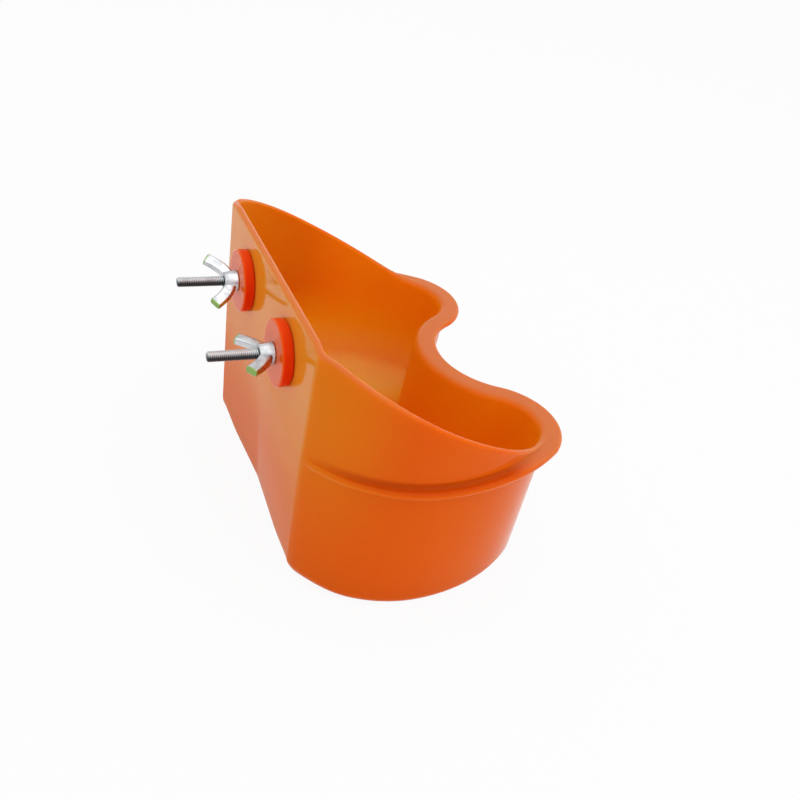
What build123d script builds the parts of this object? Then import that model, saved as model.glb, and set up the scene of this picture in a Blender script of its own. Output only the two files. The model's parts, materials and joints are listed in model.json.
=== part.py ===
from build123d import *
import math
import os

# Seed cup that clamps to cage bars: a two-lobed shell with a high back plate, two bolts through the plate,
# and a clamp disc and a wing nut on each bolt. Millimetres, +Z up, the cup's front faces -Y.
# The origin is on the floor under the middle of the cup, halfway between the plate and the flange's front.

# Shell heights and thicknesses
cup_height = 105.0
rim_level = 60.0
wall = 3.0
floor_thickness = 3.0
flange_thickness = 3.2
flange_edge_radius = 1.2
base_inset = 0.8
base_bevel = 3.0
crease_depth = 2.9

# Plan of the flange's outer edge. Depths are measured from the plate's outer face towards the front.
cup_depth = 110.0
flange_half_width = 88.0
widest_depth = 45.5
lobe_radius = 27.2
lobe_offset = 50.0
notch_depth = 81.2
plate_half_width = 58.5

# How far the flange stands out from the wall at the front and at the sides, and how far inside the wall's
# face it starts at the back corners, so that it grows out of the wall a little way in front of the plate
overhang_front = 6.2
overhang_side = 3.5
flange_start = 2.0

# The side walls' sloping top edge runs from the plate's top down to the flange
rim_run = 90.0

# Draft of the moulding: the hood's sides spread towards its top, and the bowl's sides and front draw in towards
# the base
hood_flare = 2.4
side_draft = 0.7
front_draft = 2.2

# Bolts, with their clearances in the plate, the discs and the nuts
bolt_spacing = 55.6
bolt_drop = 21.0
bolt_diameter = 4.0
bolt_reach = 28.5
bolt_end_chamfer = 0.5
head_diameter = 8.0
head_height = 2.6
head_edge_radius = 1.2
slot_width = 1.2
slot_depth = 1.3
plate_hole_clearance = 0.2
disc_clearance = 0.1
nut_clearance = 0.05

# Clamp discs
disc_diameter = 25.4
disc_thickness = 4.4
disc_edge_radius = 1.0

# Wing nuts
hub_diameter = 8.6
hub_top_diameter = 7.2
hub_height = 5.6
wing_span = 26.6
wing_height = 13.0
wing_thickness = 3.0
wing_root = 1.2
wing_end = 4.4
wing_corner_radius = 1.0
wing_angles = {"left": 0.0, "right": 26.0}

# Places worked out from the sizes above
plate_y = cup_depth / 2
lobe_depth = cup_depth - lobe_radius
bolt_level = cup_height - bolt_drop
sides = {"left": -1, "right": 1}
margin = 20.0


def polar(centre, radius, angle):
    """Point at an angle, in radians, on a circle in plan."""
    return (centre[0] + radius * math.cos(angle), centre[1] + radius * math.sin(angle))


def direction(start, end):
    """Angle in radians of the line from one plan point to another."""
    return math.atan2(end[1] - start[1], end[0] - start[0])


def plan(corner, half_width, lobe_r, notch, level, inset=0.0, crease=0.0, set_back=0.0):
    """Face of the two-lobed plan at a height, moved inwards by inset. Set_back moves its front towards the plate.

    Each half is four tangent arcs: from the back corner to the widest place, on to the lobe, round the lobe,
    and into the notch on the middle line. The back is two straight lines that meet at the crease.
    """
    run = half_width - corner
    rear_r = (run**2 + widest_depth**2) / (2 * run)
    a = half_width - lobe_offset
    m = lobe_depth - set_back - widest_depth
    side_r = (a**2 + m**2 - lobe_r**2) / (2 * (a - lobe_r))
    k = notch - lobe_depth
    notch_r = (lobe_offset**2 + k**2 - lobe_r**2) / (2 * (lobe_r - k))

    rear_c = (half_width - rear_r, -widest_depth)
    side_c = (half_width - side_r, -widest_depth)
    lobe_c = (lobe_offset, set_back - lobe_depth)
    notch_c = (0.0, set_back - notch - notch_r)

    corner_angle = math.asin((widest_depth - inset) / (rear_r - inset))
    lobe_start = direction(side_c, lobe_c)
    lobe_end = direction(lobe_c, notch_c)
    if lobe_end > lobe_start:
        lobe_end -= 2 * math.pi
    notch_start = direction(notch_c, lobe_c)
    arcs = [
        (rear_c, rear_r - inset, corner_angle, 0.0),
        (side_c, side_r - inset, 0.0, lobe_start),
        (lobe_c, lobe_r - inset, lobe_start, lobe_end),
        (notch_c, notch_r + inset, notch_start, math.pi / 2),
    ]
    half = []
    for centre, radius, start, end in arcs:
        half.append([polar(centre, radius, start + (end - start) * t) for t in (0.0, 0.5, 1.0)])

    lines = []
    for sign in (1, -1):
        place = [[(sign * x, y + plate_y) for x, y in points] for points in half]
        lines.append(Line((0, plate_y - inset - crease), place[0][0]))
        lines += [ThreePointArc(*points) for points in place]
    return Pos(0, 0, level) * make_face(Wire(lines))


def wall_plan(level, inset=0.0, crease=0.0, spread=0.0, set_back=0.0):
    """Plan of the wall's outer face, set back from the flange's edge by the overhangs. Spread widens its sides."""
    return plan(
        plate_half_width + spread,
        flange_half_width - overhang_side + spread,
        lobe_radius - overhang_front,
        notch_depth - overhang_front,
        level,
        inset,
        crease,
        set_back,
    )


def base_plan(level, inset):
    """Plan of the wall near the base, with the crease and the full draft of the bowl."""
    return wall_plan(level, base_inset + inset, crease_depth, -side_draft, front_draft)


def rim_cut():
    """Block above the rim: the side walls slope from the plate's top down to the flange, and the notch is flat."""
    slope = (cup_height - rim_level) / rim_run
    front_y = plate_y - cup_depth - margin
    rear_y = plate_y + margin
    top = cup_height + margin
    outline = Polyline(
        (rear_y, cup_height + slope * margin),
        (plate_y - rim_run, rim_level),
        (front_y, rim_level),
        (front_y, top + margin),
        (rear_y, top + margin),
        close=True,
    )
    width = flange_half_width + margin
    slanted = extrude(Plane.YZ * make_face(outline), width, both=True)
    notch_space = Pos(0, plate_y - widest_depth, rim_level) * Box(
        2 * lobe_offset,
        cup_depth,
        cup_height,
        align=(Align.CENTER, Align.MAX, Align.MIN),
    )
    return slanted + notch_space


def bolt_places():
    """Each bolt's side and the point on the plate's outer face that it passes through."""
    return {side: (sign * bolt_spacing / 2, plate_y, bolt_level) for side, sign in sides.items()}


def along_bolt(place, start, length, radius):
    """Cylinder on a bolt's axis. Start is measured outwards from the plate's outer face."""
    x, y, z = place
    cylinder = Cylinder(radius, length, align=(Align.CENTER, Align.CENTER, Align.MIN))
    return Pos(x, y + start, z) * Rot(-90, 0, 0) * cylinder


def make_flange():
    """Plate of the flange's plan with rounded edges. It ends inside the plate, behind the bowl's space."""
    outline = plan(
        plate_half_width - flange_start,
        flange_half_width,
        lobe_radius,
        notch_depth,
        rim_level - flange_thickness,
    )
    flange = extrude(outline, flange_thickness)
    flange = fillet(flange.edges().filter_by(GeomType.CIRCLE), flange_edge_radius)
    return split(flange, Plane.XZ.offset(wall / 2 - plate_y), Keep.TOP)


def make_shell():
    """Bowl, flange and sloping hood in one moulding, with two bolt holes in the plate."""
    outer = loft([base_plan(0.0, base_bevel), base_plan(base_bevel, 0.0), wall_plan(rim_level)], ruled=True)
    hood = loft([wall_plan(rim_level), wall_plan(cup_height, spread=hood_flare)], ruled=True) - rim_cut()
    flange = make_flange()
    bowl_space = loft([base_plan(floor_thickness, wall), wall_plan(rim_level, wall)], ruled=True)
    hood_space = loft([wall_plan(rim_level, wall), wall_plan(cup_height, wall, spread=hood_flare)], ruled=True)
    shell = outer + flange + hood - bowl_space - hood_space
    for place in bolt_places().values():
        hole_radius = bolt_diameter / 2 + plate_hole_clearance
        shell -= along_bolt(place, -wall - margin / 2, wall + margin, hole_radius)
    return shell


def make_bolt(place):
    """Screw with a slotted pan head against the plate's inner face and a bevelled free end."""
    shank = along_bolt(place, -wall, wall + bolt_reach, bolt_diameter / 2)
    shank = chamfer(shank.edges().sort_by(Axis.Y)[-1], bolt_end_chamfer)
    head = along_bolt(place, -wall - head_height, head_height, head_diameter / 2)
    head = fillet(head.edges().sort_by(Axis.Y)[0], head_edge_radius)
    x, y, z = place
    slot = Pos(x, y - wall - head_height, z) * Box(head_diameter, 2 * slot_depth, slot_width)
    return shank + (head - slot)


def make_disc(place):
    """Thick washer with rounded edges that slides on its bolt."""
    disc = along_bolt(place, 0.0, disc_thickness, disc_diameter / 2)
    disc = fillet(disc.edges(), disc_edge_radius)
    return disc - along_bolt(place, -margin, 2 * margin, bolt_diameter / 2 + disc_clearance)


def make_wing_nut(place, angle):
    """Tapered hub with two wings that sweep outwards and away from the plate."""
    hub = Cone(
        hub_diameter / 2,
        hub_top_diameter / 2,
        hub_height,
        align=(Align.CENTER, Align.CENTER, Align.MIN),
    )
    tip = wing_span / 2
    slant = wing_end / 2
    outline = Polyline(
        (0.0, wing_root),
        (hub_diameter / 2 + wing_thickness, wing_root + wing_thickness / 2),
        (tip, wing_height - wing_end),
        (tip - slant / 2, wing_height),
        (tip - slant - wing_thickness / 2, wing_height - wing_thickness / 2),
        (hub_top_diameter / 2, hub_height - wing_root / 2),
        (0.0, hub_height - wing_root / 2),
        close=True,
    )
    wing = extrude(Plane.XZ * make_face(outline), wing_thickness / 2, both=True)
    ends = wing.edges().filter_by(Axis.Y).sort_by(Axis.X)[-3:]
    wing = fillet(ends, wing_corner_radius)
    bore = Cylinder(bolt_diameter / 2 + nut_clearance, 2 * margin)
    nut = hub + wing + Rot(0, 0, 180) * wing - bore
    x, y, z = place
    return Pos(x, y + disc_thickness, z) * Rot(-90, 0, 0) * Rot(0, 0, -angle) * nut


def main():
    os.makedirs("parts", exist_ok=True)
    nodes = {"cup_shell": make_shell()}
    for side, place in bolt_places().items():
        nodes[f"bolt_{side}"] = make_bolt(place)
        nodes[f"clamp_disc_{side}"] = make_disc(place)
        nodes[f"wing_nut_{side}"] = make_wing_nut(place, wing_angles[side])
    for name, shape in nodes.items():
        export_step(shape, f"parts/{name}.step")


main()
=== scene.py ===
import json
import math

import bmesh
import bpy
import numpy as np
from bpy.props import FloatProperty, FloatVectorProperty, IntProperty, PointerProperty
from mathutils import Matrix, Vector


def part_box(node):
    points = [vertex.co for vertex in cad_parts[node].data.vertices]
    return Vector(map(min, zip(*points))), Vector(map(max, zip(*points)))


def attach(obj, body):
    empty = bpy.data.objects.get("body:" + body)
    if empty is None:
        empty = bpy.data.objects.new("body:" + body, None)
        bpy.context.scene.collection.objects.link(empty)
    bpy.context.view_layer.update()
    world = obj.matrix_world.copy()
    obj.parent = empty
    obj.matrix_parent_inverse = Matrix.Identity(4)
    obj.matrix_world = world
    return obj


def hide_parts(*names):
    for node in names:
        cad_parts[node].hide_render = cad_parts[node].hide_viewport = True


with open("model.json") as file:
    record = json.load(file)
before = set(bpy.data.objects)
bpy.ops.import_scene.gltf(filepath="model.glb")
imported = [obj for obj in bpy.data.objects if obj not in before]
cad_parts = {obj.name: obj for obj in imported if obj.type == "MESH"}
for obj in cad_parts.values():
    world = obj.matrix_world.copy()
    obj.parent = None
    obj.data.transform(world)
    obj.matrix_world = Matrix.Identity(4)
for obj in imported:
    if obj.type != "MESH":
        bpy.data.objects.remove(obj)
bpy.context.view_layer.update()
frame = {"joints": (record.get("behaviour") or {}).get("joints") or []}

bl_info = {
    "name": "Seed Cup",
    "version": (1, 0, 0),
    "blender": (4, 5, 0),
    "location": "3D View > Sidebar > Seed Cup",
    "description": "Builds a two-lobed seed cup with its bolts, clamp discs and wing nuts",
    "category": "Add Mesh",
}

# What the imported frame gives
SHELL_LOW, SHELL_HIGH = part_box("cup_shell")
BOLT_LOW, BOLT_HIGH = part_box("bolt_left")
DISC_LOW, DISC_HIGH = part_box("clamp_disc_left")
SIDES = ("left", "right")
NUT_PLACES = {
    side: Vector(joint["pos_m"])
    for side in SIDES
    for joint in frame["joints"]
    if joint["name"] == f"nut_{side}_spin"
}
BOLT_LEVEL = NUT_PLACES["left"].z
PLATE_Y = SHELL_HIGH.y
BOLT_PLACES = {side: np.array((place.x, PLATE_Y, place.z)) for side, place in NUT_PLACES.items()}

# A millimetre, the distance within which points are one, and white
MM = 0.001
SAME_PLACE = 0.0001 * MM
WHITE = (1.0, 1.0, 1.0, 1.0)


def length(name, description, millimetres):
    """A property that holds a length in metres, with its default in millimetres."""
    default = millimetres * MM
    return FloatProperty(name=name, description=description, default=default, unit="LENGTH", precision=5)


def bearing(name, description, degrees):
    """A property that holds an angle, with its default in degrees."""
    return FloatProperty(name=name, description=description, default=math.radians(degrees), subtype="ANGLE")


def spot(name, description, default):
    """A property that holds a place in metres."""
    return FloatVectorProperty(name=name, description=description, default=default, subtype="TRANSLATION")


def colour(name, description, default):
    """A property that holds a colour in linear light."""
    return FloatVectorProperty(
        name=name, description=description, default=default, subtype="COLOR", size=3, min=0.0, max=1.0
    )


class CupSizes(bpy.types.PropertyGroup):
    """Sizes of the moulded shell."""

    height: length("Height", "Top of the back plate above the base", SHELL_HIGH.z / MM)
    depth: length("Depth", "Plate's outer face to the flange's front", (SHELL_HIGH.y - SHELL_LOW.y) / MM)
    flange_half_width: length("Flange half width", "Middle line to the flange's side", SHELL_HIGH.x / MM)
    widest_depth: length("Widest depth", "Depth of the widest place", 45.5)
    lobe_radius: length("Lobe radius", "Radius of the flange round a lobe", 27.2)
    lobe_offset: length("Lobe offset", "Middle line to a lobe's centre", 50.0)
    notch_depth: length("Notch depth", "Depth of the flange's edge at the notch", 81.2)
    plate_half_width: length("Plate half width", "Middle line to the plate's edge", 58.5)
    overhang_front: length("Front overhang", "Flange beyond the wall at the front", 6.2)
    overhang_side: length("Side overhang", "Flange beyond the wall at the sides", 3.5)
    flange_start: length("Flange start", "Flange beyond the wall at the plate's edge", 0.4)
    hood_flare: length("Hood flare", "Spread of the hood's sides at its top", 2.4)
    side_draft: length("Side draft", "Draw of the bowl's sides at the base", 0.7)
    front_draft: length("Front draft", "Draw of the bowl's front at the base", 2.2)
    rim_level: length("Rim level", "Height of the flange's top", 60.0)
    rim_run: length("Rim run", "Depth at which the sloping rim meets the flange", 90.0)
    rim_blend: length("Rim blend", "How softly the rim runs out on the flange", 3.0)
    wall: length("Wall", "Thickness of the wall and the floor", 3.0)
    flange_thickness: length("Flange thickness", "Thickness of the flange", 3.2)
    flange_growth: length("Flange growth", "Width at which the flange has its full section", 0.9)
    # Painted highlight: the rim is paler near the plate and fades over this depth
    rim_highlight_reach: length("Pale rim", "How far from the plate the rim stays pale", 42.0)
    rim_corner: length("Rim corner", "Drop of the plate's top corners", 1.1)
    rim_corner_reach: length("Rim corner reach", "How far from the corners that drop runs out", 8.0)
    shade_rise: length("Shade rise", "Height from which the raised wall shades the flange", 10.0)
    base_inset: length("Base inset", "Draft of the wall down to the base", 0.8)
    base_round: length("Base round", "Radius of the base's outer edge", 4.2)
    corner_base_round: length("Corner base round", "The same radius at the plate's corners", 7.0)
    corner_reach: length("Corner reach", "How far from the corners that round runs out", 25.0)
    floor_rise: length("Floor rise", "Height of the round at the floor's edge", 14.0)
    edge_round: length("Edge round", "Radius of the flange's and the rim's edges", 1.45)
    lip_round: length("Lip round", "Radius of the rim's inner edge by the open flange", 2.6)
    valley_round: length("Valley round", "Radius where the flange meets the wall", 1.6)
    corner_round: length("Corner round", "Radius of the plate's upright edges", 6.4)
    base_corner_round: length("Base corner round", "The same radius at the base", 14.0)
    crease_depth: length("Crease depth", "Depth of the crease at the plate's foot", 2.9)
    crease_round: length("Crease round", "Softness of the crease's line", 1.2)


class ClampSizes(bpy.types.PropertyGroup):
    """Sizes of the bolts, the discs and the wing nuts."""

    bolt_radius: length("Bolt radius", "Outer radius of the thread", 2.0)
    thread_pitch: length("Thread pitch", "Rise of the thread in one turn", 0.7)
    thread_depth: length("Thread depth", "Crest to root of the thread", 0.16)
    end_chamfer: length("End chamfer", "Bevel at the bolt's free end", 0.5)
    head_height: length("Head height", "Height of the bolt's pan head", 2.6)
    head_edge: length("Head edge", "Radius of the head's edge", 1.2)
    slot_width: length("Slot width", "Width of the screwdriver slot", 1.2)
    slot_depth: length("Slot depth", "Depth of the screwdriver slot", 1.3)
    disc_bore: length("Disc bore", "Radius of the disc's hole", 2.1)
    disc_edge: length("Disc edge", "Radius of the disc's rim", 0.7)
    hub_radius: length("Hub radius", "Radius of the nut's foot", 4.3)
    hub_top_radius: length("Hub top radius", "Radius of the nut's top", 3.6)
    hub_height: length("Hub height", "Height of the nut's hub", 5.6)
    hub_chamfer: length("Hub chamfer", "Bevel at the hub's edges", 0.4)
    wing_span: length("Wing span", "Tip to tip", 26.6)
    wing_height: length("Wing height", "Top of the wings above the nut's foot", 13.0)
    wing_foot: length("Wing foot", "Height at which a wing leaves the hub", 2.8)
    wing_bend: length("Wing bend", "Bend of a wing beyond the hub's foot", 1.6)
    wing_width: length("Wing width", "Width of a wing's end", 4.8)
    wing_root: length("Wing root", "Thickness of a wing at the hub", 3.6)
    wing_end: length("Wing end", "Thickness of a wing at its end", 2.8)
    wing_round: length("Wing round", "Radius round a wing's flat end", 0.5)
    wing_turn_left: bearing("Left wing turn", "Where the left nut stopped", 0.0)
    wing_turn_right: bearing("Right wing turn", "Where the right nut stopped", 26.0)


class Finishes(bpy.types.PropertyGroup):
    """Colours of the finishes and the stage, and the painted light and shade on the parts."""

    orange: colour("Orange", "The moulded shell", (0.80, 0.130, 0.004))
    deep_orange: colour("Deep orange", "The shell's darker patches", (0.78, 0.105, 0.003))
    ochre: colour("Ochre", "The walls beside the plate", (0.80, 0.225, 0.006))
    # Painted reflection: the plate pales towards its top, standing in for the white surroundings it reflects
    plate_reflection_ochre: colour("Plate ochre", "The plate's upper half", (0.82, 0.268, 0.018))
    # Painted shade: the flange's top is darker below the raised wall, as if the wall shaded it
    ledge_shade_orange: colour("Ledge orange", "The flange below the raised wall", (0.63, 0.082, 0.002))
    # Painted light: the flange's open top and the rim by the plate are paler, as if lit
    pale_lit_orange: colour("Pale orange", "The flange's open top, the rim by the plate", (0.68, 0.185, 0.055))
    # Painted light and shade inside: brighter in the open lobes, darker deep in by the plate
    lobe_light_orange: colour("Lobe orange", "Inside of the lobes", (0.98, 0.300, 0.004))
    rear_shade_orange: colour("Inner orange", "The inside near the plate", (0.75, 0.190, 0.003))
    # Painted glow: the inner sides pale to amber and peach downwards, as light through the walls would
    amber_glow: colour("Amber", "The inner sides halfway down", (0.90, 0.490, 0.008))
    peach_glow: colour("Peach", "The inner sides near the floor", (0.92, 0.510, 0.110))
    red: colour("Red", "The discs", (0.90, 0.036, 0.002))
    # Painted light: the discs' upper half and outer faces are lighter, as if lit
    lit_upper_red: colour("Light red", "The discs' upper half", (0.92, 0.066, 0.005))
    lit_face_red: colour("Face red", "The discs' outer faces", (0.94, 0.125, 0.012))
    deep_red: colour("Deep red", "The discs' darker patches", (0.76, 0.020, 0.002))
    zinc: colour("Zinc", "The nuts' bright plating", (0.63, 0.64, 0.66))
    dull_zinc: colour("Dull zinc", "The nuts' duller places", (0.46, 0.48, 0.50))
    passivate: colour("Passivate", "Yellow-green tint on the wings' ends", (0.20, 0.36, 0.03))
    steel: colour("Steel", "The bolts", (0.58, 0.60, 0.61))
    dull_steel: colour("Dull steel", "The bolts' duller places", (0.46, 0.48, 0.49))
    # Painted shade: the bolts' undersides are darkened, standing in for the shade under them
    underside_shade: colour("Dark film", "The film under the bolts", (0.026, 0.030, 0.036))
    floor: colour("Floor", "The floor", (0.86, 0.86, 0.86))


class StageSizes(bpy.types.PropertyGroup):
    """Camera, floor, lamps and world."""

    camera_place: spot("Camera place", "Where the camera stands", (-0.3036, PLATE_Y + 0.0961, 0.2624))
    camera_azimuth: bearing("Azimuth", "Side that the camera stands on", 242.0)
    camera_elevation: bearing("Elevation", "Camera's height angle", 33.2)
    camera_roll: bearing("Roll", "Camera's turn about its view", 11.4)
    focal_pixels: FloatProperty(name="Focal length", description="In pixels of the image", default=931.0)
    image_pixels: IntProperty(name="Image size", description="Side of the square image", default=800)
    floor_half: length("Floor half side", "Half the side of the floor", 3000.0)
    floor_white: FloatProperty(name="Floor white", description="Share of white in the floor", default=0.93)
    key_place: spot("Key place", "Where the overhead lamp hangs", (-0.15, -0.1, 0.9))
    key_size: length("Key size", "Side of the overhead lamp", 1300.0)
    key_power: FloatProperty(name="Key power", description="Overhead lamp", default=3.8, unit="POWER")
    fill_place: spot("Fill place", "Where the side lamp stands", (-0.9, -0.5, 0.45))
    fill_size: length("Fill size", "Side of the side lamp", 1400.0)
    fill_power: FloatProperty(name="Fill power", description="Side lamp", default=1.4, unit="POWER")
    lamp_aim: spot("Lamp aim", "Place that the lamps look at", (0.0, 0.0, 0.05))
    world_strength: FloatProperty(name="World strength", description="Light from all round", default=0.65)


def math_pair(operation):
    """An operator on sockets and its reflected form. Each adds a Math node."""

    def plain(self, other):
        return self.shader.node("ShaderNodeMath", {"operation": operation}, {0: self, 1: other})

    def reflected(self, other):
        return self.shader.node("ShaderNodeMath", {"operation": operation}, {0: other, 1: self})

    return plain, reflected


class Socket:
    """A shader socket with Python's operators: an expression on values adds its Math nodes."""

    __add__, __radd__ = math_pair("ADD")
    __sub__, __rsub__ = math_pair("SUBTRACT")
    __mul__, __rmul__ = math_pair("MULTIPLY")
    __pow__, __rpow__ = math_pair("POWER")

    def __init__(self, shader, link):
        self.shader = shader
        self.link = link


class Shader:
    """The node tree of a material or a world, with one method that adds any node."""

    def __init__(self, owner):
        self.owner = owner
        owner.use_nodes = True
        self.tree = owner.node_tree
        self.tree.nodes.clear()

    def node(self, kind, settings=None, sockets=None, output=0):
        """Adds a node with its settings and the values or links of its sockets. Gives one output, if any."""
        node = self.tree.nodes.new(kind)
        for key, value in (settings or {}).items():
            setattr(node, key, value)
        for key, value in (sockets or {}).items():
            if isinstance(value, Socket):
                self.tree.links.new(value.link, node.inputs[key])
            else:
                node.inputs[key].default_value = value
        return Socket(self, node.outputs[output]) if node.outputs else None

    def place(self):
        """Object coordinates, in metres in the part's own frame."""
        return self.node("ShaderNodeTexCoord", output="Object")

    def axes(self, vector):
        """The three parts of a vector."""
        split = self.node("ShaderNodeSeparateXYZ", None, {0: vector})
        return [Socket(self, out) for out in split.link.node.outputs]

    def mark(self, name):
        """A value that a mesh holds at its points, or 0 if it doesn't hold it."""
        return self.node("ShaderNodeAttribute", {"attribute_name": name}, output="Fac")

    def noise(self, vector, scale, detail=3.0):
        """Noise from 0 to 1 on a vector."""
        sockets = {"Vector": vector, "Scale": scale, "Detail": detail, "Roughness": 0.55}
        return self.node("ShaderNodeTexNoise", None, sockets)

    def range(self, value, low, high, to_low=0.0, to_high=1.0):
        """Maps a value smoothly from one range to another, held at both ends."""
        sockets = {"Value": value, "From Min": low, "From Max": high, "To Min": to_low, "To Max": to_high}
        return self.node("ShaderNodeMapRange", {"interpolation_type": "SMOOTHSTEP"}, sockets)

    def mix(self, factor, first, second):
        """Mixes two colours. The node's sockets for colours share their names, so they go by number."""
        factor_in, first_in, second_in, colour_out = 0, 6, 7, 2
        first, second = (tone if isinstance(tone, Socket) else (*tone, 1.0) for tone in (first, second))
        sockets = {factor_in: factor, first_in: first, second_in: second}
        return self.node("ShaderNodeMix", {"data_type": "RGBA", "clamp_factor": True}, sockets, colour_out)

    def bump(self, height, depth):
        """Normal that a height map of some depth tilts."""
        return self.node("ShaderNodeBump", None, {"Height": height, "Strength": RELIEF, "Distance": depth})

    def straight(self):
        """1 for rays from the camera, from mirrors and through glass, and 0 for other rays."""
        seen = 0.0
        for name in ("Is Camera Ray", "Is Glossy Ray", "Is Transmission Ray"):
            ray = self.node("ShaderNodeLightPath", output=name)
            seen = self.node("ShaderNodeMath", {"operation": "MAXIMUM"}, {0: seen, 1: ray})
        return seen

    def surface(self, sockets):
        """Principled surface linked to the material's output. Gives the material."""
        return self.output(self.node("ShaderNodeBsdfPrincipled", None, sockets))

    def output(self, shading, kind="ShaderNodeOutputMaterial"):
        """Links a finished shading to the output. Gives the material or the world."""
        self.node(kind, None, {"Surface": shading})
        return self.owner


# Scales of the noises, in features a metre, and the noise values between which a finish changes
CLOUD_SCALE, SMUDGE_SCALE, PEEL_SCALE = 14.0, 60.0, 900.0
PATCH_SCALE, SCRATCH_SCALE = 260.0, 2400.0
CLOUD_BAND = (0.35, 0.75)
PATCH_BAND = (0.42, 0.68)
ROUGHNESS_BAND = (0.3, 0.7)

# Roughness of the plastic's polish and of the plating, and what the inside of the bowl adds
POLISH, PLATING = (0.05, 0.10), (0.20, 0.34)
INSIDE_ROUGHER = 0.30

# Strength of the fine relief, and its depths
RELIEF = 0.05
PEEL_DEPTH, SCRATCH_DEPTH = 0.4 * MM, 0.1 * MM

# How far light runs inside the shell and the discs
SHELL_GLOW, DISC_GLOW = 5.0 * MM, 2.0 * MM

# Depths, heights and breadths between which the shell's tones and painted light and shade change
BESIDE_PLATE = (PLATE_Y - 34.0 * MM, PLATE_Y - 4.0 * MM)
OCHRE_HEIGHTS = (20.0 * MM, 85.0 * MM)
PLATE_HEIGHTS = (20.0 * MM, 100.0 * MM)
FOOT_HEIGHTS = (30.0 * MM, 90.0 * MM)
REAR_DEPTHS = (-20.0 * MM, 20.0 * MM)
SIDE_BREADTHS = (35.0 * MM, 60.0 * MM)
AMBER_HEIGHTS = (18.0 * MM, 56.0 * MM)
PEACH_HEIGHTS = (10.0 * MM, 36.0 * MM)

# Heights and depths where the discs' painted light changes and the bolts' painted underside shade fades
DISC_HEIGHTS = (BOLT_LEVEL - 6.0 * MM, BOLT_LEVEL + 13.0 * MM)
DISC_FACE = (DISC_HIGH.y - 0.9 * MM, DISC_HIGH.y - 0.2 * MM)
UNDERSIDE_SHADE_HEIGHTS = (BOLT_LEVEL + 0.2 * MM, BOLT_LEVEL + 1.8 * MM)

# Distances past a wing's tip, along its heading, between which the tint sets in
TINT_BAND = (-0.6 * MM, 0.4 * MM)


def moulded_plastic(name, main, deep, paint, finishes, glow):
    """Moulded plastic: its tone drifts in patches, light runs in it, and its skin has a faint orange peel.

    The paint function takes the shader, its three axes, the tone and the finishes, and gives the tone with
    its local colours and painted light and shade. Glow is how far light runs. Where the mesh is marked, an
    inside and a plate's foot are duller.
    """
    shader = Shader(bpy.data.materials.new(name))
    place = shader.place()
    axes = shader.axes(place)
    _, _, height = axes
    cloud = shader.noise(place, CLOUD_SCALE, detail=2.0)
    tone = shader.mix(shader.range(cloud, *CLOUD_BAND, to_high=0.55), main, deep)
    inside = shader.mark("inside")
    dull_foot = shader.mark("plate") * shader.range(height, *FOOT_HEIGHTS, to_low=1.0, to_high=0.0)
    smudge = shader.noise(place, SMUDGE_SCALE)
    peel = shader.noise(place, PEEL_SCALE, detail=2.0)
    return shader.surface(
        {
            "Base Color": paint(shader, axes, tone, finishes),
            "Roughness": shader.range(smudge, *ROUGHNESS_BAND, *POLISH) + INSIDE_ROUGHER * inside,
            "Coat Weight": (1.0 - inside) * (1.0 - dull_foot),
            "Coat IOR": 1.085,
            "Coat Roughness": 0.07,
            "Normal": shader.bump(peel, PEEL_DEPTH),
            "Specular IOR Level": 0.02,
            "Subsurface Weight": 0.9,
            "Subsurface Radius": (1.0, 0.6, 0.1),
            "Subsurface Scale": glow,
        }
    )


def paint_shell(shader, axes, tone, finishes):
    """The shell's local colours, on the marks that its mesh holds.

    It is more yellow beside the plate, and the plate pales towards its top in a painted reflection.
    Painted shade deepens the flange below the raised wall, and painted light pales the flange's open top
    and the rim by the plate. Inside, painted light makes the lobes brightest, painted shade darkens the rear
    by the plate, and a painted glow pales the sides towards the floor.
    """
    across, depth, height = axes
    beside_plate = shader.range(depth, *BESIDE_PLATE, to_high=0.9)
    beside_plate = beside_plate * shader.range(height, *OCHRE_HEIGHTS, to_low=0.15)
    tone = shader.mix(beside_plate, tone, finishes.ochre)
    # Painted reflection: the plate grows paler towards its top
    on_plate = shader.mark("plate") * shader.range(height, *PLATE_HEIGHTS, to_low=0.1)
    tone = shader.mix(on_plate, tone, finishes.plate_reflection_ochre)
    # Painted shade on the flange's top below the raised wall
    tone = shader.mix(shader.mark("ledge_shade"), tone, finishes.ledge_shade_orange)
    # Painted light on the flange's open top, and a painted highlight on the rim by the plate
    tone = shader.mix(shader.mark("lit_open_top"), tone, finishes.pale_lit_orange)
    # Painted light in the open lobes and painted shade inside by the plate
    rear = shader.range(depth, *REAR_DEPTHS)
    inner = shader.mix(rear, finishes.lobe_light_orange, finishes.rear_shade_orange)
    # Painted glow on the inner sides, paler towards the floor
    beside = shader.range((across * across) ** 0.5, *SIDE_BREADTHS)
    for heights, pale in ((AMBER_HEIGHTS, finishes.amber_glow), (PEACH_HEIGHTS, finishes.peach_glow)):
        low = beside * shader.range(height, *heights, to_low=1.0, to_high=0.0)
        inner = shader.mix(low, inner, pale)
    return shader.mix(shader.mark("inside"), tone, inner)


def paint_disc(shader, axes, tone, finishes):
    """Painted light: the discs lighten upwards, and their outer faces are paler and more orange."""
    _, depth, height = axes
    # Painted light on the upper half and on the outer faces
    tone = shader.mix(shader.range(height, *DISC_HEIGHTS), tone, finishes.lit_upper_red)
    outer_face = shader.range(depth, *DISC_FACE, to_high=0.9)
    return shader.mix(outer_face, tone, finishes.lit_face_red)


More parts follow.
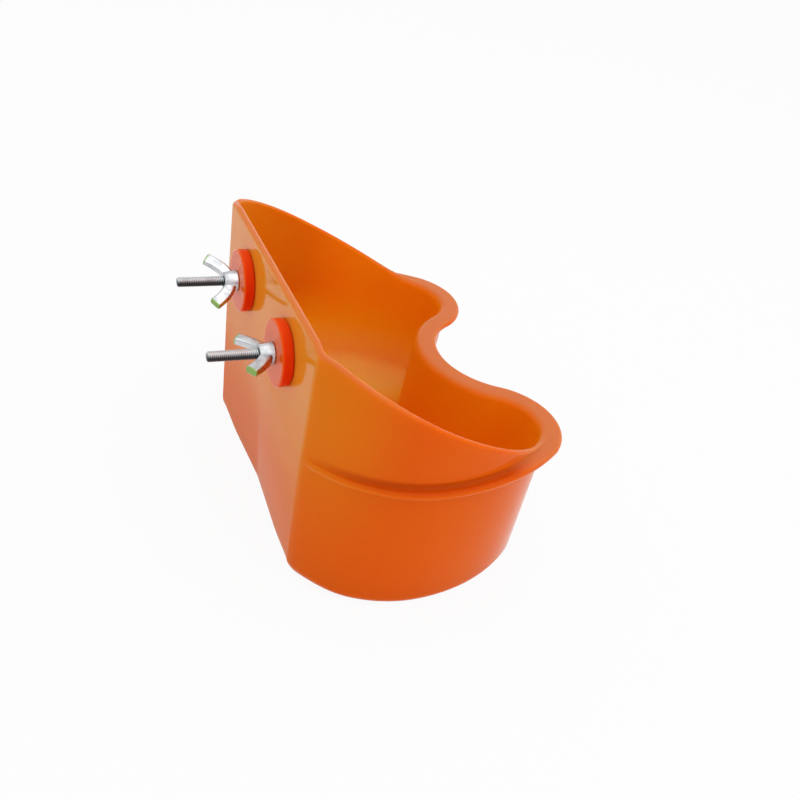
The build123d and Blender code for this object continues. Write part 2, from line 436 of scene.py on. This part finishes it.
def plated_steel(name, main, dull, tint, tint_or_shade_share):
    """Plated steel: patches of duller metal, a real tint or painted shade in some places, and fine
    scratches.

    The last function takes the shader and its three axes, and gives how far the tone goes to the last tone:
    the nuts' real tint, or the painted shade under the bolts.
    """
    shader = Shader(bpy.data.materials.new(name))
    place = shader.place()
    patch = shader.noise(place, PATCH_SCALE, detail=4.0)
    scratch = shader.noise(place, SCRATCH_SCALE)
    tone = shader.mix(shader.range(patch, *PATCH_BAND), main, dull)
    # The last tone is the nuts' real tint or the bolts' painted underside shade
    tone = shader.mix(tint_or_shade_share(shader, shader.axes(place)), tone, tint)
    return shader.surface(
        {
            "Base Color": tone,
            "Metallic": 1.0,
            "Roughness": shader.range(patch, *ROUGHNESS_BAND, *PLATING),
            "Normal": shader.bump(scratch, SCRATCH_DEPTH),
        }
    )


def wing_ends(shader, axes):
    """The plating's yellow-green tint lies on the wings' flat ends, past the tip of their path."""
    across, depth, height = axes
    place = NUT_PLACES["right"]
    beside = (across * across) ** 0.5 - place.x
    above = height - place.z
    reach = (beside * beside + above * above) ** 0.5
    _, bend, tip = wing_path(bpy.context.scene.seedcup_clamp)
    heading = (tip - bend) / np.linalg.norm(tip - bend)
    along = reach * float(heading[0]) + (depth - place.y) * float(heading[1])
    return shader.range(along - float(tip @ heading), *TINT_BAND, to_high=0.85)


def bolt_underside_shade(shader, axes):
    """Painted shade: the bolts are dark on their undersides, fading just above the axis."""
    _, _, height = axes
    return shader.range(height, *UNDERSIDE_SHADE_HEIGHTS, to_low=0.97, to_high=0.0)


def grid_faces(first, rows, columns, start_pole, end_pole):
    """Quads of a grid whose rows are rings, with a fan to a pole at either end, as lists of vertex numbers.

    First is the number of the grid's first vertex. The poles come after the last row.
    """
    row = first + columns * np.arange(rows - 1)[:, None]
    column = np.arange(columns)[None, :]
    after = (column + 1) % columns
    corners = [row + column, row + after, row + columns + after, row + columns + column]
    faces = np.stack(corners, -1).reshape(-1, 4).tolist()
    ring, following = first + column[0], first + after[0]
    pole = first + rows * columns
    if start_pole:
        faces += np.stack([np.full_like(ring, pole), following, ring], -1).tolist()
        pole += 1
    if end_pole:
        last = (rows - 1) * columns
        faces += np.stack([np.full_like(ring, pole), last + ring, last + following], -1).tolist()
    return faces


def surface_object(name, grids, material, marks=()):
    """A smooth mesh object made of one or more grids of rings, each (points, start_pole, end_pole).

    Points have the shape rows, columns, 3 and one more value for each mark. A pole is the mean of the row
    that it closes. The marks are kept on the mesh under their names. Points on one place become one.
    """
    vertices, faces, first = [], [], 0
    for points, start_pole, end_pole in grids:
        rows, columns, channels = points.shape
        block = [points.reshape(-1, channels)]
        if start_pole:
            block.append(points[0].mean(0, keepdims=True))
        if end_pole:
            block.append(points[-1].mean(0, keepdims=True))
        faces += grid_faces(first, rows, columns, start_pole, end_pole)
        vertices.append(np.concatenate(block))
        first += len(vertices[-1])
    vertices = np.concatenate(vertices)
    mesh = bpy.data.meshes.new(name)
    mesh.from_pydata(vertices[:, :3].tolist(), [], faces)
    mesh.polygons.foreach_set("use_smooth", np.ones(len(mesh.polygons), bool))
    for channel, mark in enumerate(marks, 3):
        mesh.attributes.new(mark, "FLOAT", "POINT").data.foreach_set("value", vertices[:, channel])
    mesh.materials.append(material)
    merged = bmesh.new()
    merged.from_mesh(mesh)
    bmesh.ops.remove_doubles(merged, verts=merged.verts, dist=SAME_PLACE)
    merged.to_mesh(mesh)
    merged.free()
    piece = bpy.data.objects.new(name, mesh)
    bpy.context.scene.collection.objects.link(piece)
    return piece


def even_normals(piece):
    """Lets large faces lead the shading, so that flat stretches stay flat beside small rounds."""
    modifier = piece.modifiers.new("Even normals", "WEIGHTED_NORMAL")
    modifier.keep_sharp = False
    modifier.weight = 100


def dress(piece, node, body):
    """Puts a finished piece in its CAD node's place."""
    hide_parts(node)
    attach(piece, body)


def steps(count):
    """Even steps from 0 to 1."""
    return np.linspace(0.0, 1.0, count)


def full_turn(columns):
    """Even angles round a full turn, from 0 on."""
    return steps(columns + 1)[:-1] * 2 * math.pi


def smoothstep(values):
    """Smooth rise from 0 to 1."""
    held = np.clip(values, 0.0, 1.0)
    return held * held * (3.0 - 2.0 * held)


class Outline:
    """Half of the two-lobed plan, from the plate's middle to the notch's middle, with its outward normals.

    It is a straight line and five tangent arcs: the plate, its rounded edge, the rear, the side, the lobe
    and the notch. COUNTS holds their points, and those of the line crowd towards its start. Depths are
    measured from the plate's outer face, and y is minus the depth.
    """

    COUNTS = (40, 9, 36, 40, 44, 30)
    CROWDING = 1.25

    def __init__(self, cup, corner, half_width, lobe_radius, notch, corner_round, set_back=0.0):
        lobe_depth = cup.depth - cup.lobe_radius - set_back
        notch = notch - set_back
        run = half_width - corner
        rear_radius = (run**2 + cup.widest_depth**2) / (2 * run)
        across = half_width - cup.lobe_offset
        along = lobe_depth - cup.widest_depth
        side_radius = (across**2 + along**2 - lobe_radius**2) / (2 * (across - lobe_radius))
        past = notch - lobe_depth
        notch_radius = (cup.lobe_offset**2 + past**2 - lobe_radius**2) / (2 * (lobe_radius - past))

        rear = np.array((half_width - rear_radius, -cup.widest_depth))
        side = np.array((half_width - side_radius, -cup.widest_depth))
        lobe = np.array((cup.lobe_offset, -lobe_depth))
        hollow = np.array((0.0, -notch - notch_radius))
        edge_x = math.sqrt((rear_radius - corner_round) ** 2 - (cup.widest_depth - corner_round) ** 2)
        edge = np.array((rear[0] + edge_x, -corner_round))

        edge_end = self._angle(rear, edge)
        lobe_start = self._angle(side, lobe)
        lobe_end = self._angle(lobe, hollow)
        if lobe_end > lobe_start:
            lobe_end -= 2 * math.pi
        notch_start = self._angle(hollow, lobe)
        arcs = [
            (edge, corner_round, math.pi / 2, edge_end, 1.0),
            (rear, rear_radius, edge_end, 0.0, 1.0),
            (side, side_radius, 0.0, lobe_start, 1.0),
            (lobe, lobe_radius, lobe_start, lobe_end, 1.0),
            (hollow, notch_radius, notch_start, math.pi / 2, -1.0),
        ]
        line = steps(self.COUNTS[0])[:-1] ** self.CROWDING
        points = [np.stack([line * edge[0], 0.0 * line], -1)]
        normals = [np.stack([0.0 * line, 1.0 + 0.0 * line], -1)]
        for (centre, radius, start, end, outward), count in zip(arcs, self.COUNTS[1:]):
            last = count if centre is hollow else count - 1
            turn = start + (end - start) * steps(count)[:last]
            radial = np.stack([np.cos(turn), np.sin(turn)], -1)
            points.append(centre + radius * radial)
            normals.append(outward * radial)
        self.plate_end = edge[0]
        self.points = self._both_halves(np.concatenate(points))
        self.normals = self._both_halves(np.concatenate(normals))

    @staticmethod
    def _angle(start, end):
        return math.atan2(end[1] - start[1], end[0] - start[0])

    @staticmethod
    def _both_halves(half):
        """The half and its mirror image as one closed ring, seen from above in clockwise order."""
        return np.concatenate([half, half[-2:0:-1] * (-1.0, 1.0)])


def wall_outline(cup, corner_round, spread=0.0, set_back=0.0):
    """Plan of the wall's outer face. Spread widens its sides, and set_back moves its front backwards."""
    corner = cup.plate_half_width + spread
    half_width = cup.flange_half_width - cup.overhang_side + spread
    lobe_radius = cup.lobe_radius - cup.overhang_front
    notch = cup.notch_depth - cup.overhang_front
    return Outline(cup, corner, half_width, lobe_radius, notch, corner_round, set_back)


def rim_rise(cup, depth, across, from_corner):
    """Height of the raised wall above the flange at each point of the plan.

    It is a plane that runs out softly on the flange and is rounded off at the plate's corners. Along the
    notch it is nothing.
    """
    slope = (cup.height - cup.rim_level) / cup.rim_run
    over = slope * (cup.rim_run - depth)
    soft = 0.5 * (over + np.sqrt(over**2 + cup.rim_blend**2))
    front_depth = cup.depth - cup.overhang_front
    fade = 1.0 - smoothstep((depth - cup.rim_run) / (front_depth - cup.rim_run))
    corner_drop = cup.rim_corner * smoothstep(1.0 - from_corner / cup.rim_corner_reach)
    beside_notch = (depth > cup.widest_depth) & (across < cup.lobe_offset)
    return np.where(beside_notch, 0.0, soft * fade - corner_drop)


# Points of the shell's profile on each of its stretches, with both ends
ROUND_COUNT, UNDERSIDE_COUNT, OUTER_COUNT, FLANGE_COUNT = 8, 9, 16, 5
HOOD_COUNT, INNER_COUNT, FLOOR_COUNT = 18, 30, 30

# Width below which the flange sinks into the wall, and the flat stretch left on the rim
FLANGE_FADE, RIM_FLAT = 0.7 * MM, 0.1 * MM

# Most of the flange's width and the raised wall's height that a round takes up, and the share of the widest
# place's depth at which a point sees the whole plan
WIDTH_SHARE, RISE_SHARE, CENTRE_SHARE = 0.45, 0.42, 0.88

# How squarely the plan faces backwards where the plate's tone begins, and where the plate is flat
PLATE_FACING, FLAT_FACING = 0.9, 0.999

# Scale of the smallest ring round a pole, and the powers of the floor's superellipse and its rings' crowding
SMALLEST_RING, FLOOR_POWER, RING_CROWDING = 0.02, 3.0, 3


def shell_points(cup):
    """The shell as a grid: a closed profile carried round the plan.

    Each column stands on one point of the plan. Row by row, the profile runs from the underside's middle
    over the rounded base edge, up the outer wall, round the flange, up the raised wall, over the rim, down
    the inner wall and over the floor's round to the floor's middle. An offset moves a point along the plan's
    normal. Below the flange the plan runs evenly into a narrower one at the base, and above it into a wider
    one at the top.
    """
    wall_line = wall_outline(cup, cup.corner_round)
    base_line = wall_outline(cup, cup.base_corner_round, -cup.side_draft, cup.front_draft)
    top_line = wall_outline(cup, cup.corner_round, cup.hood_flare)
    corner = cup.plate_half_width + cup.flange_start
    flange_line = Outline(
        cup, corner, cup.flange_half_width, cup.lobe_radius, cup.notch_depth, cup.corner_round
    )
    points, normals = wall_line.points, wall_line.normals
    reach = ((flange_line.points - points) * normals).sum(-1)
    width = np.maximum(reach, 0.0) * smoothstep(reach / FLANGE_FADE)
    depth, across = -points[:, 1], np.abs(points[:, 0])
    from_corner = np.hypot(across - cup.plate_half_width, depth)
    rise = rim_rise(cup, depth, across, from_corner)

    quarter = steps(ROUND_COUNT)[:, None] * math.pi / 2
    sine, cosine = np.sin(quarter), np.cos(quarter)
    edge = np.minimum(cup.edge_round, 0.5 * width)
    valley = np.minimum(cup.valley_round, WIDTH_SHARE * width)
    valley_rise = np.minimum(cup.valley_round, RISE_SHARE * rise)
    rim_round = np.minimum(cup.edge_round, RISE_SHARE * rise)
    lip_round = np.minimum(cup.lip_round, cup.wall - RIM_FLAT - rim_round)
    low = cup.rim_level - cup.flange_thickness
    ones = np.ones_like(width)
    blocks = []

    def rows(offset, height, scale=1.0, inside=0.0, ledge_shade=0.0, lit_open_top=0.0):
        values = [value * ones for value in (offset, height, scale, inside, ledge_shade, lit_open_top)]
        blocks.append(np.stack(np.broadcast_arrays(*values), -1))

    # Underside and rounded base edge, rounder at the plate's corners
    more_round = (cup.corner_base_round - cup.base_round) * smoothstep(1.0 - from_corner / cup.corner_reach)
    base_round = cup.base_round + more_round
    foot = -(cup.base_inset + base_round)
    spread = SMALLEST_RING + (1.0 - SMALLEST_RING) * steps(UNDERSIDE_COUNT)[:-1, None]
    rows(foot, 0.0, spread)
    rows(foot + base_round * sine, base_round * (1.0 - cosine))

    # Outer wall up to the flange's lower fillet
    along = steps(OUTER_COUNT)[1:-1, None]
    start, end = base_round, low - cup.valley_round
    rows(-cup.base_inset * (1.0 - along), start + (end - start) * along)

    # Flange: lower fillet, underside, rounded edge, top and the valley at the raised wall
    between = steps(FLANGE_COUNT)[1:-1, None]
    contour = [
        (valley * (1.0 - cosine), low - cup.valley_round + cup.valley_round * sine, 0.0),
        (valley + (width - edge - valley) * between, low, 0.0),
        (width - edge + edge * sine, low + cup.edge_round * (1.0 - cosine), 0.0),
        (width - edge + edge * cosine, cup.rim_level - cup.edge_round * (1.0 - sine), sine),
        (width - edge + (valley - width + edge) * between, cup.rim_level, 1.0),
        (valley * (1.0 - sine), cup.rim_level + valley_rise * (1.0 - cosine), 1.0),
    ]
    contour = [np.broadcast_arrays(*(value * ones for value in section)) for section in contour]
    contour_offset, contour_height, on_top = (np.concatenate(values) for values in zip(*contour))
    share = steps(len(contour_offset))[:, None]
    plain_height = contour_height[0] + (contour_height[-1] - contour_height[0]) * share
    stands_out = smoothstep(width / cup.flange_growth)
    shaded = smoothstep(rise / cup.shade_rise)
    # Painted light on the open flange top, and a painted highlight on the rim near the plate
    lit_open_top = stands_out * (1.0 - shaded)
    plate = smoothstep((normals[:, 1] - PLATE_FACING) / (1.0 - PLATE_FACING))
    near_plate = 1.0 - smoothstep(depth / cup.rim_highlight_reach)
    lit_rim_top = np.maximum(lit_open_top, near_plate)
    # The ledge mark is painted shade on the flange's top where the raised wall stands over it
    rows(
        contour_offset,
        plain_height + (contour_height - plain_height) * stands_out,
        ledge_shade=on_top * smoothstep(width / cup.overhang_side) * shaded,
        lit_open_top=on_top * lit_open_top,
    )

    # Raised wall, rim and inner wall
    top = cup.rim_level + rise
    along = steps(HOOD_COUNT)[1:-1, None]
    start, end = cup.rim_level + valley_rise, top - rim_round
    # Painted light on the raised wall where it is low over the open flange
    rows(0.0, start + (end - start) * along, lit_open_top=lit_open_top)
    # Painted highlight on the rim by the plate, and painted light on it over the open flange
    rows(
        -rim_round * (1.0 - cosine),
        top - rim_round * (1.0 - sine),
        lit_open_top=np.maximum(lit_open_top, near_plate * sine),
    )
    rows(
        lip_round - cup.wall - lip_round * sine,
        top - lip_round * (1.0 - cosine),
        inside=1.0 - cosine,
        lit_open_top=cosine * lit_rim_top,
    )
    along = steps(INNER_COUNT)[1:-1, None]
    start, end = top - lip_round, cup.wall + cup.floor_rise
    rows(-cup.wall - cup.base_inset * along, start + (end - start) * along, inside=1.0)

    # Floor: a superellipse from the foot of the inner wall to the middle
    spread = 1.0 - (1.0 - SMALLEST_RING) * steps(FLOOR_COUNT)[:, None] ** RING_CROWDING
    rise_left = cup.floor_rise * (1.0 - (1.0 - spread**FLOOR_POWER) ** (1.0 / FLOOR_POWER))
    rows(-(cup.wall + cup.base_inset), cup.wall + rise_left, spread, inside=1.0)

    offset, height, scale, inside, ledge_shade, lit_open_top = np.moveaxis(np.concatenate(blocks), -1, 0)
    below = np.clip(1.0 - height / cup.rim_level, 0.0, 1.0)
    above = np.clip((height - cup.rim_level) / (cup.height - cup.rim_level), 0.0, 1.0)
    drift = below[..., None] * (base_line.points - points) + above[..., None] * (top_line.points - points)
    plan = points + drift + normals * offset[..., None]
    x, y = plan[..., 0], plan[..., 1]

    # Crease down the middle of the plate's lower half
    from_middle = np.sqrt(x**2 + cup.crease_round**2) - cup.crease_round
    on_plate = np.clip(1.0 - from_middle / wall_line.plate_end, 0.0, 1.0) * (normals[:, 1] > FLAT_FACING)
    y = y - cup.crease_depth * on_plate * below

    # The underside and the floor shrink towards a point that sees the whole plan
    centre_y = -CENTRE_SHARE * cup.widest_depth
    x, y = scale * x, centre_y + scale * (y - centre_y)
    plate = np.broadcast_to(plate, x.shape)
    return np.stack([x, y + PLATE_Y, height, inside, ledge_shade, lit_open_top, plate], -1)[:, ::-1]


class SEEDCUP_OT_shell(bpy.types.Operator):
    """Build the moulded shell with its bowl, flange and high back plate"""

    bl_idname = "seedcup.shell"
    bl_label = "Shell"

    def execute(self, context):
        cup, finishes = context.scene.seedcup_cup, context.scene.seedcup_finishes
        tones = finishes.orange, finishes.deep_orange
        material = moulded_plastic("orange_moulded_plastic", *tones, paint_shell, finishes, SHELL_GLOW)
        grids = [(shell_points(cup), True, True)]
        shell = surface_object("seed_cup_shell", grids, material, ("inside", "ledge_shade", "lit_open_top", "plate"))
        even_normals(shell)
        dress(shell, "cup_shell", "cup")
        return {"FINISHED"}


# How far a thread reaches into its head, and the gap between a bolt and its nut's bore
THREAD_OVERLAP, NUT_GAP = 0.2 * MM, 0.05 * MM


def turned(profile, columns):
    """A surface of revolution about the bolt's axis: each (radius, height) of the profile makes one ring.

    The ring's angle runs evenly over a full turn. Height goes along +Y, away from the plate.
    """
    radius, height = np.asarray(profile, float).T
    angle = full_turn(columns)
    x = radius[:, None] * np.cos(angle)
    z = radius[:, None] * np.sin(angle)
    y = np.broadcast_to(height[:, None], x.shape)
    return np.stack([x, y, z], -1)


def arc(centre, radius, start, end, count=7):
    """Points of an arc in (radius, height), with its angles in degrees."""
    angle = np.radians(start + (end - start) * steps(count))
    return np.stack([centre[0] + radius * np.cos(angle), centre[1] + radius * np.sin(angle)], -1)


def thread_points(clamp, start, end):
    """The bolt's thread as a grid: the radius falls and rises once a pitch and winds with the angle.

    At each point the phase is height over pitch plus the share of a turn. The depth is a triangle wave of
    the phase, flattened at its crest and root, and the chamfer's cone cuts it at the free end.
    """
    columns, rows_per_turn = 28, 11
    steepness, flat_root = 2.6, 0.15
    rows = int(rows_per_turn * (end - start) / clamp.thread_pitch)
    height = start + (end - start) * steps(rows)[:, None]
    angle = full_turn(columns)
    phase = height / clamp.thread_pitch + angle / (2 * math.pi)
    wave = np.clip(steepness * np.abs((phase % 1.0) - 0.5) - flat_root, 0.0, 1.0)
    radius = clamp.bolt_radius - clamp.thread_depth * (1.0 - wave)
    limit = clamp.bolt_radius - np.maximum(height - (end - clamp.end_chamfer), 0.0)
    radius = np.minimum(radius, limit)
    height = np.broadcast_to(height, radius.shape)
    return np.stack([radius * np.cos(angle), height, radius * np.sin(angle)], -1)


def head_points(clamp, radius, foot):
    """The slotted pan head as a grid over its disc: lines along the slot, each stretched to its chord.

    The height is a flat dome with a rounded edge. Between the slot's walls it drops to the slot's floor. The
    first and last points of each line come straight down to the head's foot, which closes it to a ring.
    """
    lines_beside, line_points = 22, 33
    half_slot = 0.5 * clamp.slot_width
    beside = np.sin(steps(lines_beside) * math.pi / 2) * (radius - half_slot) + half_slot
    line = np.concatenate([-beside[::-1], [-half_slot, half_slot], beside])
    in_slot = np.repeat([False, True, False], [len(beside), 2, len(beside)])
    across = np.concatenate([[-1.0], np.sin((steps(line_points) - 0.5) * math.pi), [1.0]])
    chord = np.sqrt(np.maximum(radius**2 - line**2, 0.0))
    x = across[None, :] * chord[:, None]
    z = np.broadcast_to(line[:, None], x.shape)
    from_edge = np.maximum(np.hypot(x, z) - (radius - clamp.head_edge), 0.0)
    dome = clamp.head_height - clamp.head_edge
    dome = dome + np.sqrt(np.maximum(clamp.head_edge**2 - from_edge**2, 0.0))
    floor = clamp.head_height - clamp.slot_depth
    height = np.where(in_slot[:, None], np.minimum(dome, floor), dome)
    height[:, [0, -1]] = 0.0
    return np.stack([x, foot - height, z], -1)


class SEEDCUP_OT_bolts(bpy.types.Operator):
    """Build the two threaded bolts with their slotted heads"""

    bl_idname = "seedcup.bolts"
    bl_label = "Bolts"

    def execute(self, context):
        cup, clamp = context.scene.seedcup_cup, context.scene.seedcup_clamp
        finishes = context.scene.seedcup_finishes
        # The last tone is painted shade on the bolts' undersides
        tones = finishes.steel, finishes.dull_steel, finishes.underside_shade
        material = plated_steel("plated_bolt_steel", *tones, bolt_underside_shade)
        head_radius = 0.5 * (BOLT_HIGH.z - BOLT_LOW.z)
        reach = BOLT_HIGH.y - PLATE_Y
        for side in SIDES:
            thread = thread_points(clamp, -cup.wall - THREAD_OVERLAP, reach) + BOLT_PLACES[side]
            head = head_points(clamp, head_radius, -cup.wall) + BOLT_PLACES[side]
            grids = [(thread[:, ::-1], True, True), (head, False, False)]
            bolt = surface_object(f"threaded_bolt_{side}", grids, material)
            dress(bolt, f"bolt_{side}", "cup")
        return {"FINISHED"}


# Points round a disc's rings and a nut's hub, and across a disc's face
DISC_COLUMNS, HUB_COLUMNS, FACE_COUNT = 96, 48, 6


class SEEDCUP_OT_discs(bpy.types.Operator):
    """Build the two clamp discs"""

    bl_idname = "seedcup.discs"
    bl_label = "Clamp discs"

    def execute(self, context):
        clamp, finishes = context.scene.seedcup_clamp, context.scene.seedcup_finishes
        tones = finishes.red, finishes.deep_red
        material = moulded_plastic("red_moulded_plastic", *tones, paint_disc, finishes, DISC_GLOW)
        thickness = DISC_HIGH.y - DISC_LOW.y
        radius = 0.5 * (DISC_HIGH.z - DISC_LOW.z)
        bore, edge = clamp.disc_bore, clamp.disc_edge
        face = bore + (radius - edge - bore) * steps(FACE_COUNT)[:-1]
        level = np.zeros_like(face)
        profile = np.concatenate(
            [
                [(bore, thickness)],
                np.stack([face, level], -1),
                arc((radius - edge, edge), edge, -90.0, 0.0),
                arc((radius - edge, thickness - edge), edge, 0.0, 90.0),
                np.stack([face[::-1], level + thickness], -1),
            ]
        )
        for side in SIDES:
            grids = [(turned(profile, DISC_COLUMNS)[:, ::-1] + BOLT_PLACES[side], False, False)]
            disc = surface_object(f"red_clamp_disc_{side}", grids, material)
            even_normals(disc)
            dress(disc, f"clamp_disc_{side}", f"disc_{side}")
        return {"FINISHED"}


def wing_path(clamp):
    """Start, bend and tip of a wing's path, as distances from the bolt's axis and heights on the nut."""
    inside_hub, bend_lift = 0.25, 1.3
    start = np.array((inside_hub * clamp.hub_radius, clamp.wing_foot))
    bend = np.array((clamp.hub_radius + clamp.wing_bend, bend_lift * clamp.wing_foot))
    tip = np.array((0.5 * (clamp.wing_span - clamp.wing_width), clamp.wing_height - 0.5 * clamp.wing_width))
    return start, bend, tip


def wing_points(clamp):
    """One wing as a rounded bar carried along a bent path, from inside the hub to its tip.

    The path is a quadratic Bezier curve with the bend as its control point. The section is a superellipse,
    wider across the wing than it is thick. Its last rings close over a flat end with rounded edges.
    """
    rings, cap_rings, columns, power = 25, 7, 32, 0.42
    along = np.concatenate([steps(rings + 1)[:-1], np.ones(cap_rings)])[:, None]
    cap = np.concatenate([np.zeros(rings), steps(cap_rings) * math.pi / 2])[:, None]
    start, bend, tip = wing_path(clamp)
    path = start * (1 - along) ** 2 + 2 * bend * along * (1 - along) + tip * along**2
    heading = 2 * (bend - start) * (1 - along) + 2 * (tip - bend) * along
    heading /= np.linalg.norm(heading, axis=1, keepdims=True)
    side = np.stack([-heading[:, 1], heading[:, 0]], -1)
    path = path + heading * clamp.wing_round * np.sin(cap)
    shrink = clamp.wing_round * (1 - np.cos(cap))
    half_width = 0.5 * clamp.wing_width - shrink
    half_thick = 0.5 * (clamp.wing_root + (clamp.wing_end - clamp.wing_root) * along) - shrink
    angle = full_turn(columns)
    across = np.sign(np.cos(angle)) * np.abs(np.cos(angle)) ** power * half_width
    thick = np.sign(np.sin(angle)) * np.abs(np.sin(angle)) ** power * half_thick
    x = path[:, :1] + side[:, :1] * across
    y = path[:, 1:] + side[:, 1:] * across
    return np.stack([x, y, thick], -1)


class SEEDCUP_OT_nuts(bpy.types.Operator):
    """Build the two wing nuts"""

    bl_idname = "seedcup.nuts"
    bl_label = "Wing nuts"

    def execute(self, context):
        clamp, finishes = context.scene.seedcup_clamp, context.scene.seedcup_finishes
        tones = finishes.zinc, finishes.dull_zinc, finishes.passivate
        material = plated_steel("zinc_plated_nut", *tones, wing_ends)
        bore = clamp.bolt_radius + NUT_GAP
        bevel = clamp.hub_chamfer
        ease = 0.3 * bevel
        foot, top, height = clamp.hub_radius, clamp.hub_top_radius, clamp.hub_height
        profile = [
            (bore, height),
            (bore, 0.0),
            (foot - bevel, 0.0),
            (foot - ease, ease),
            (foot, bevel),
            (0.5 * (foot + top), 0.5 * height),
            (top, height - bevel),
            (top - ease, height - ease),
            (top - bevel, height),
            (bore, height),
        ]
        turns = {"left": clamp.wing_turn_left, "right": clamp.wing_turn_right}
        wing = wing_points(clamp)
        wings = (wing, wing * (-1.0, 1.0, -1.0))
        for side in SIDES:
            spin = np.array(Matrix.Rotation(-turns[side], 3, "Y"))
            place = np.array(NUT_PLACES[side])
            grids = [(turned(profile, HUB_COLUMNS)[:, ::-1] + place, False, False)]
            grids += [(points @ spin.T + place, True, True) for points in wings]
            nut = surface_object(f"zinc_wing_nut_{side}", grids, material)
            even_normals(nut)
            dress(nut, f"wing_nut_{side}", f"nut_{side}")
        return {"FINISHED"}


def floor_material(tone, white):
    """Pale floor: it takes soft shadows, and to the camera and to mirror rays it is lifted towards white."""
    shader = Shader(bpy.data.materials.new("pale_floor"))
    matt = shader.node("ShaderNodeBsdfDiffuse", None, {"Color": (*tone, 1.0)})
    glow = shader.node("ShaderNodeEmission", None, {"Color": WHITE, "Strength": 1.0})
    lifted = {0: shader.straight() * white, 1: matt, 2: glow}
    return shader.output(shader.node("ShaderNodeMixShader", None, lifted))


class SEEDCUP_OT_stage(bpy.types.Operator):
    """Build the floor, the lamps, the world and the camera"""

    bl_idname = "seedcup.stage"
    bl_label = "Stage"

    def execute(self, context):
        stage, finishes = context.scene.seedcup_stage, context.scene.seedcup_finishes
        half = stage.floor_half
        mesh = bpy.data.meshes.new("floor")
        corners = [(-half, -half, 0.0), (half, -half, 0.0), (half, half, 0.0), (-half, half, 0.0)]
        mesh.from_pydata(corners, [], [(0, 1, 2, 3)])
        mesh.materials.append(floor_material(finishes.floor, stage.floor_white))
        floor = bpy.data.objects.new("floor", mesh)
        context.scene.collection.objects.link(floor)
        self.lamp(context, "overhead", stage.key_place, stage.key_size, stage.key_power)
        self.lamp(context, "side", stage.fill_place, stage.fill_size, stage.fill_power)
        self.sky(context, stage)
        self.camera(context, stage)
        context.scene.view_settings.view_transform = "Standard"
        return {"FINISHED"}

    @staticmethod
    def lamp(context, name, place, size, power):
        """Square soft lamp that looks at the stage's aim."""
        data = bpy.data.lights.new(name, "AREA")
        data.size = size
        data.energy = power
        lamp = bpy.data.objects.new(name, data)
        view = context.scene.seedcup_stage.lamp_aim - place
        lamp.matrix_world = Matrix.Translation(place) @ view.to_track_quat("-Z", "Y").to_matrix().to_4x4()
        context.scene.collection.objects.link(lamp)

    @staticmethod
    def sky(context, stage):
        """Even pale light from all round, white where it is seen straight on."""
        shader = Shader(bpy.data.worlds.new("studio"))
        strength = stage.world_strength + (1.0 - stage.world_strength) * shader.straight()
        light = shader.node("ShaderNodeBackground", None, {"Color": WHITE, "Strength": strength})
        context.scene.world = shader.output(light, "ShaderNodeOutputWorld")

    @staticmethod
    def camera(context, stage):
        """Camera at the given place, turned by its azimuth, tilted by its elevation and rolled."""
        data = bpy.data.cameras.new("camera")
        data.sensor_fit = "HORIZONTAL"
        data.angle = 2.0 * math.atan(0.5 * stage.image_pixels / stage.focal_pixels)
        data.clip_start = 10.0 * MM
        camera = bpy.data.objects.new("camera", data)
        turn = Matrix.Rotation(stage.camera_azimuth, 4, "Z")
        tilt = Matrix.Rotation(0.5 * math.pi - stage.camera_elevation, 4, "X")
        roll = Matrix.Rotation(stage.camera_roll, 4, "Z")
        camera.matrix_world = Matrix.Translation(stage.camera_place) @ turn @ tilt @ roll
        context.scene.collection.objects.link(camera)
        context.scene.camera = camera


OPERATORS = (SEEDCUP_OT_shell, SEEDCUP_OT_bolts, SEEDCUP_OT_discs, SEEDCUP_OT_nuts, SEEDCUP_OT_stage)
GROUPS = {
    "seedcup_cup": CupSizes,
    "seedcup_clamp": ClampSizes,
    "seedcup_finishes": Finishes,
    "seedcup_stage": StageSizes,
}


class SEEDCUP_PT_panel(bpy.types.Panel):
    """Lists the cup's sizes, colours and build steps"""

    bl_idname = "SEEDCUP_PT_panel"
    bl_label = "Seed Cup"
    bl_space_type = "VIEW_3D"
    bl_region_type = "UI"
    bl_category = "Seed Cup"

    def draw(self, context):
        for operator in OPERATORS:
            self.layout.operator(operator.bl_idname)
        for name, group in GROUPS.items():
            box = self.layout.box()
            for key in group.__annotations__:
                box.prop(getattr(context.scene, name), key)


def register():
    for name, group in GROUPS.items():
        bpy.utils.register_class(group)
        setattr(bpy.types.Scene, name, PointerProperty(type=group))
    for operator in OPERATORS:
        bpy.utils.register_class(operator)
    bpy.utils.register_class(SEEDCUP_PT_panel)


def unregister():
    bpy.utils.unregister_class(SEEDCUP_PT_panel)
    for operator in reversed(OPERATORS):
        bpy.utils.unregister_class(operator)
    for name, group in GROUPS.items():
        delattr(bpy.types.Scene, name)
        bpy.utils.unregister_class(group)


def main():
    register()
    bpy.ops.seedcup.shell()
    bpy.ops.seedcup.bolts()
    bpy.ops.seedcup.discs()
    bpy.ops.seedcup.nuts()
    bpy.ops.seedcup.stage()
    bpy.context.view_layer.update()


if __name__ == "__main__":
    main()
